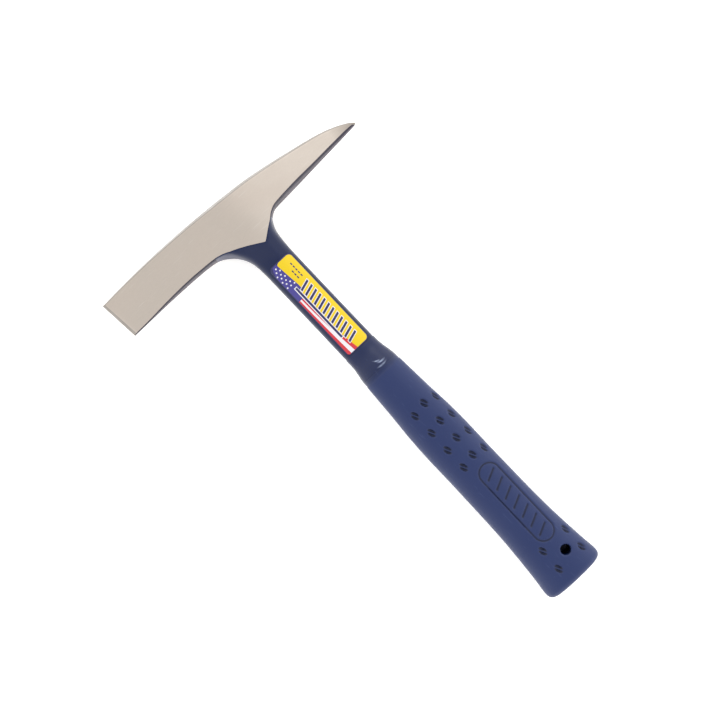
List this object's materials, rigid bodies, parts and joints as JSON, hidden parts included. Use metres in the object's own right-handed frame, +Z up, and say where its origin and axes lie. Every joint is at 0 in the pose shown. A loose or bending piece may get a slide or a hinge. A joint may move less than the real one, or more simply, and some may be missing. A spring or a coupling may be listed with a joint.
{
  "type": "rock hammer",
  "caption": "One-piece forged steel rock hammer with a pick, an upright chisel edge, an enamelled neck and a moulded grip with a hang hole.",
  "frame": {"origin": "centre of the hammer's footprint as it lies on its back, on the surface it lies on", "axes": "+Y along the handle towards the head, +X from the chisel edge towards the pick, +Z up, out of the front label"},
  "size_m": [0.165, 0.2794, 0.026],
  "materials": {
    "polished_steel": "fine ground satin on the cheeks, forged finish on the edges",
    "blue_enamel": "dark blue gloss enamel",
    "grip_vinyl": "soft satin moulding",
    "front_print": "printed film",
    "rear_print": "printed film"
  },
  "bodies": {
    "root": {"steel_forging": "polished_steel", "neck_coating": "blue_enamel", "grip": "grip_vinyl", "front_label": "front_print", "rear_label": "rear_print"}
  },
  "joints": []
}
